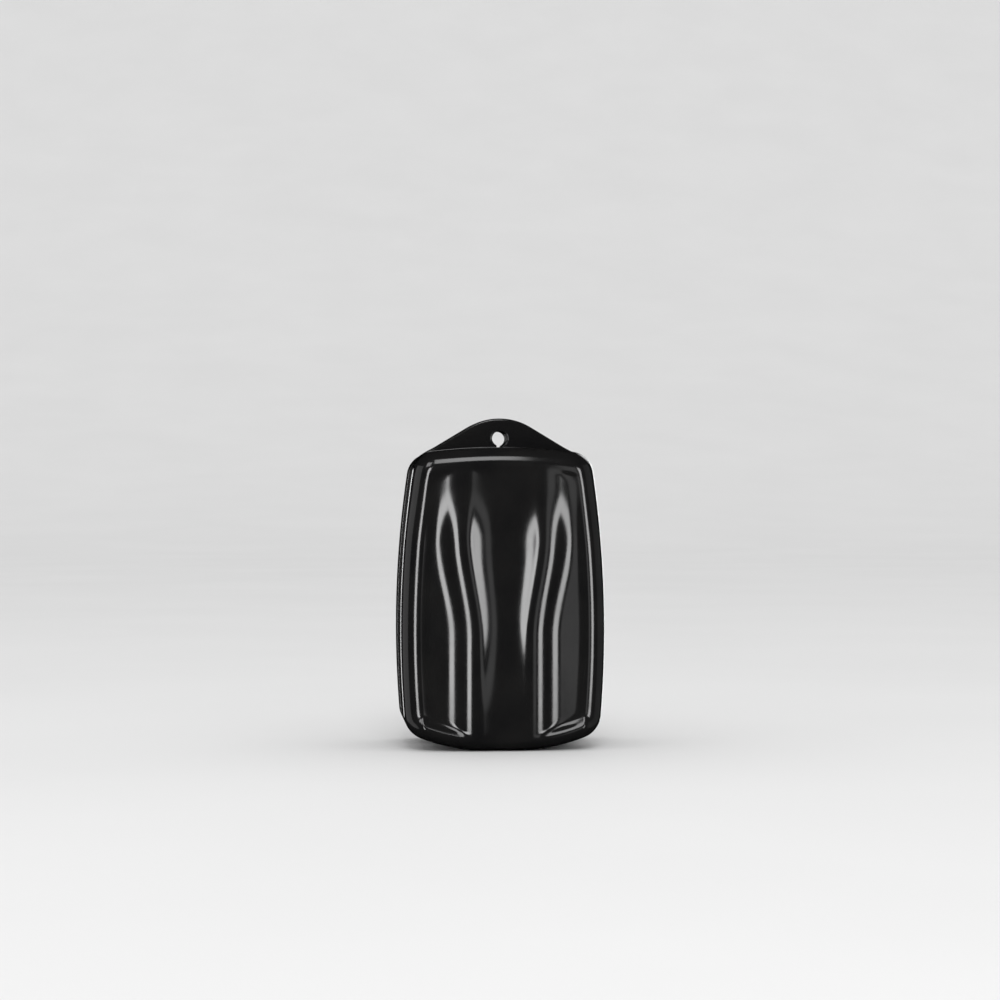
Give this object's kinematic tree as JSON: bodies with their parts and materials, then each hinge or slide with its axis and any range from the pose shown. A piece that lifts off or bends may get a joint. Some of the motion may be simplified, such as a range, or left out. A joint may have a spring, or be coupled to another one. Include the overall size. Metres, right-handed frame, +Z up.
{
  "type": "magnetic glass cleaner",
  "caption": "Small magnetic aquarium glass cleaner: a hand half with a felt pad and a wet half with a scrub pad, each a fluted casing with a cord tab, held together through glass by magnets.",
  "frame": {"origin": "middle of the foot, at the lowest point, midway between the fronts of the two halves", "axes": "+Z up along the cleaner's length towards the cord tabs; -Y out of the hand half's fluted face; +Y out of the wet half's face; +X to the right seen from the hand side"},
  "size_m": [0.0544, 0.04, 0.0883],
  "materials": {
    "casing_plastic": "gloss",
    "plate_plastic": "satin",
    "gasket_rubber": "satin",
    "ferrite": "matte",
    "keeper_steel": "satin",
    "shim_foam": "matte",
    "pad_tape": "matte",
    "felt": "matte",
    "scrub_pile": "matte"
  },
  "bodies": {
    "outer_half": {"outer_casing": "casing_plastic", "outer_base_plate": "plate_plastic", "outer_seal_gasket": "gasket_rubber", "outer_magnet_upper": "ferrite", "outer_magnet_lower": "ferrite", "outer_keeper_plate": "keeper_steel", "outer_foam_shim": "shim_foam", "outer_pad_tape": "pad_tape", "outer_felt_pad": "felt"},
    "inner_half": {"inner_casing": "casing_plastic", "inner_base_plate": "plate_plastic", "inner_seal_gasket": "gasket_rubber", "inner_magnet_upper": "ferrite", "inner_magnet_lower": "ferrite", "inner_keeper_plate": "keeper_steel", "inner_foam_shim": "shim_foam", "inner_pad_tape": "pad_tape", "inner_scrub_pad": "scrub_pile"}
  },
  "joints": [
    {"name": "pull_apart", "type": "slide", "parent": "outer_half", "child": "inner_half", "axis": [0, 1, 0], "range_m": [0, 0.06]}
  ]
}
